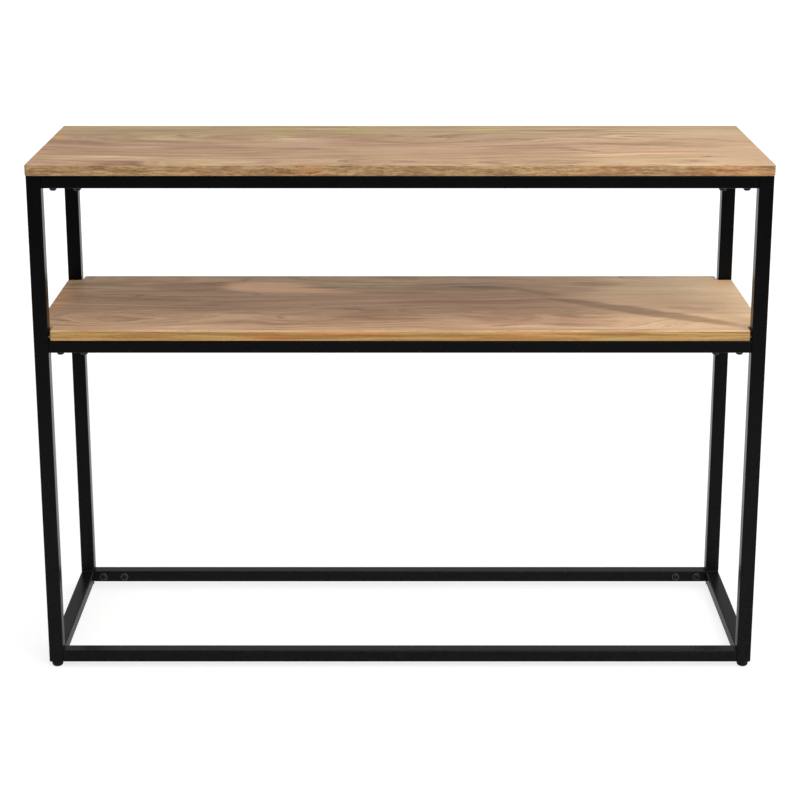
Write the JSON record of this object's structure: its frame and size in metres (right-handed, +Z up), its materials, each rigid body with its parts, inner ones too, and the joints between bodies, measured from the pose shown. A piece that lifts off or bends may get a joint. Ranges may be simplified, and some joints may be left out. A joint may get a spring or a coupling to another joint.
{
  "type": "console table",
  "caption": "Narrow console table: solid wood top and one high shelf on a black square-tube steel frame, with screw-in feet.",
  "frame": {"origin": "on the floor, under the centre of the table", "axes": "+X along the table's length, -Y towards the front, +Z up"},
  "size_m": [1.1, 0.35, 0.8],
  "materials": {
    "top_wood": "clear satin lacquer on light brown hardwood",
    "shelf_wood": "clear satin lacquer on light brown hardwood",
    "black_steel": "satin black powder coat",
    "black_bolts": "black oxide",
    "zinc_screws": "bright zinc plate",
    "black_plastic": "moulded black plastic"
  },
  "bodies": {
    "table": {"bolts_bottom": "black_bolts", "bolts_shelf": "black_bolts", "bolts_top": "black_bolts", "cross_rail_bottom_left": "black_steel", "cross_rail_bottom_right": "black_steel", "cross_rail_shelf_left": "black_steel", "cross_rail_shelf_right": "black_steel", "cross_rail_top_left": "black_steel", "cross_rail_top_right": "black_steel", "foot_insert_front_left": "black_plastic", "foot_insert_front_right": "black_plastic", "foot_insert_rear_left": "black_plastic", "foot_insert_rear_right": "black_plastic", "leg_cap_front_left": "black_steel", "leg_cap_front_right": "black_steel", "leg_cap_rear_left": "black_steel", "leg_cap_rear_right": "black_steel", "leg_front_left": "black_steel", "leg_front_right": "black_steel", "leg_rear_left": "black_steel", "leg_rear_right": "black_steel", "long_rail_bottom_front": "black_steel", "long_rail_bottom_rear": "black_steel", "long_rail_shelf_front": "black_steel", "long_rail_shelf_rear": "black_steel", "long_rail_top_front": "black_steel", "long_rail_top_rear": "black_steel", "shelf": "shelf_wood", "shelf_screws": "zinc_screws", "tabletop": "top_wood", "tabletop_screws": "zinc_screws", "tongue_bottom_front_left": "black_steel", "tongue_bottom_front_right": "black_steel", "tongue_bottom_rear_left": "black_steel", "tongue_bottom_rear_right": "black_steel", "tongue_shelf_front_left": "black_steel", "tongue_shelf_front_right": "black_steel", "tongue_shelf_rear_left": "black_steel", "tongue_shelf_rear_right": "black_steel", "tongue_top_front_left": "black_steel", "tongue_top_front_right": "black_steel", "tongue_top_rear_left": "black_steel", "tongue_top_rear_right": "black_steel", "washers_bottom": "black_bolts", "washers_shelf": "black_bolts", "washers_top": "black_bolts"},
    "foot_front_left": {"glide_pad_front_left": "black_plastic", "glide_stem_front_left": "zinc_screws"},
    "foot_front_right": {"glide_pad_front_right": "black_plastic", "glide_stem_front_right": "zinc_screws"},
    "foot_rear_left": {"glide_pad_rear_left": "black_plastic", "glide_stem_rear_left": "zinc_screws"},
    "foot_rear_right": {"glide_pad_rear_right": "black_plastic", "glide_stem_rear_right": "zinc_screws"}
  },
  "joints": [
    {"name": "foot_front_left_height", "type": "slide", "parent": "table", "child": "foot_front_left", "axis": [0, 0, -1], "range_m": [-0.001, 0.01]},
    {"name": "foot_front_right_height", "type": "slide", "parent": "table", "child": "foot_front_right", "axis": [0, 0, -1], "range_m": [-0.001, 0.01]},
    {"name": "foot_rear_left_height", "type": "slide", "parent": "table", "child": "foot_rear_left", "axis": [0, 0, -1], "range_m": [-0.001, 0.01]},
    {"name": "foot_rear_right_height", "type": "slide", "parent": "table", "child": "foot_rear_right", "axis": [0, 0, -1], "range_m": [-0.001, 0.01]}
  ]
}
